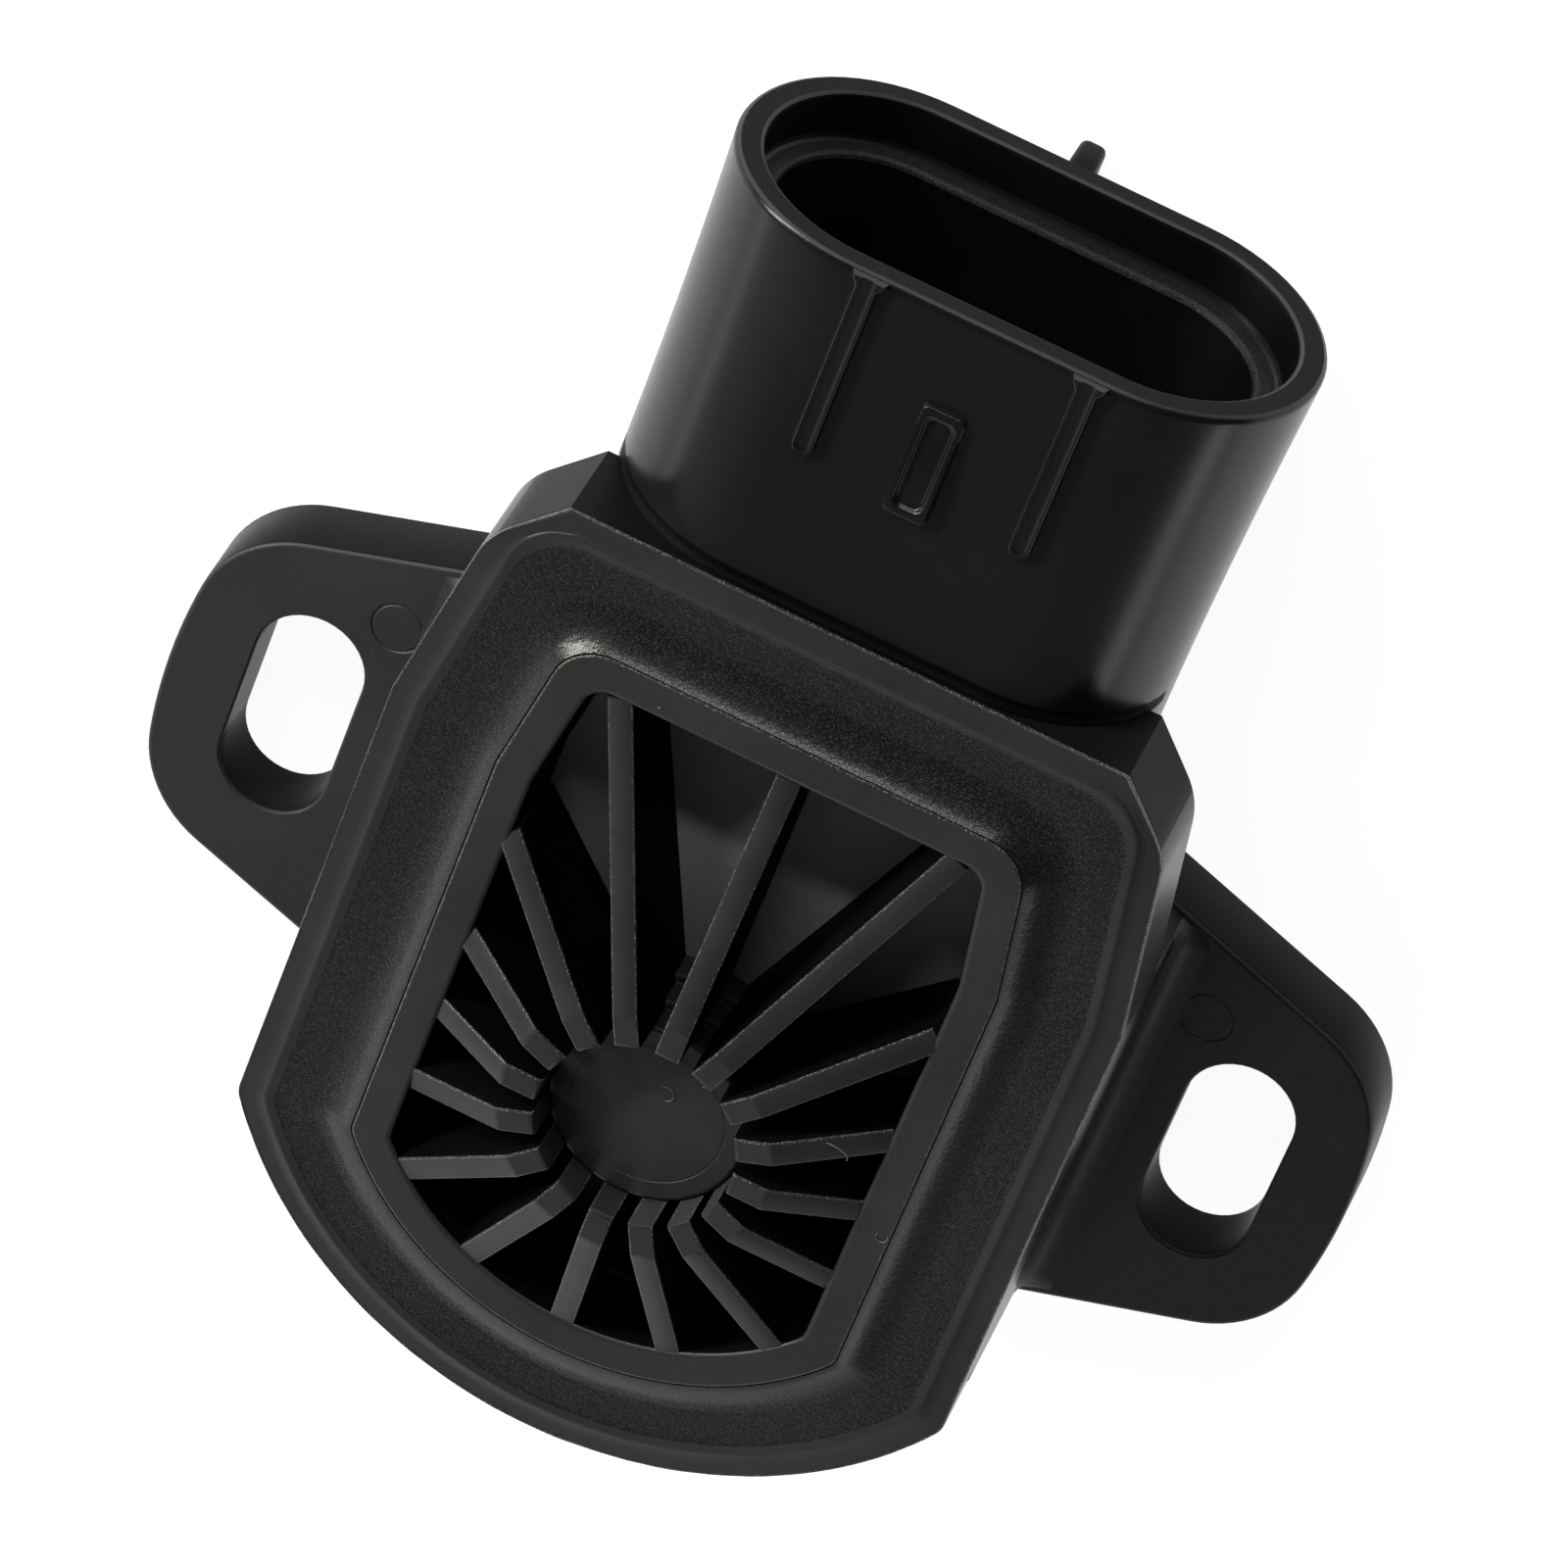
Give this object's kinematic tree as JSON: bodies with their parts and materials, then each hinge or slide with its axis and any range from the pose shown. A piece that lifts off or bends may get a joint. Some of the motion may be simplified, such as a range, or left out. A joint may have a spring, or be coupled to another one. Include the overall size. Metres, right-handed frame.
{
  "type": "throttle position sensor",
  "caption": "Moulded rotary sensor with a ribbed face, two slotted mounting ears, an oval plug socket and a sprung rotor that takes the end of a throttle shaft.",
  "frame": {"origin": "on the rotor axis, at the mounting face of the flange", "axes": "+Z out of the ribbed face along the rotor axis, +Y towards the mouth of the plug socket, +X across the two ears"},
  "size_m": [0.0508, 0.0548, 0.0176],
  "materials": {
    "housing_plastic": "satin moulded, fine spark texture in the cove",
    "rotor_plastic": "satin",
    "cover_plastic": "satin",
    "seal_rubber": "matte",
    "spring_steel": "bright drawn",
    "bronze": "satin",
    "contact_metal": "bright rolled",
    "board": "satin",
    "track_ink": "matte printed",
    "pad_silver": "matte printed",
    "terminal_tin": "bright tinned"
  },
  "bodies": {
    "body": {"housing": "housing_plastic", "element_board": "board", "resistive_track": "track_ink", "collector_track": "track_ink", "pad_left": "pad_silver", "pad_middle": "pad_silver", "pad_right": "pad_silver", "terminal_left": "terminal_tin", "terminal_middle": "terminal_tin", "terminal_right": "terminal_tin", "contact_left": "contact_metal", "contact_middle": "contact_metal", "contact_right": "contact_metal", "return_spring": "spring_steel", "back_cover": "cover_plastic", "rotor_seal": "seal_rubber", "face_seal": "seal_rubber", "thrust_washer": "bronze"},
    "rotor": {"rotor": "rotor_plastic", "drive_clip": "spring_steel", "wiper": "contact_metal", "wiper_rivet_a": "contact_metal", "wiper_rivet_b": "contact_metal"}
  },
  "joints": [
    {"name": "rotor_turn", "type": "hinge", "parent": "body", "child": "rotor", "pos_m": [0, 0, 0], "axis": [0, 0, 1], "range_deg": [0, 95], "stiffness_Nm_per_rad": 0.012, "springref_deg": -34.38}
  ]
}
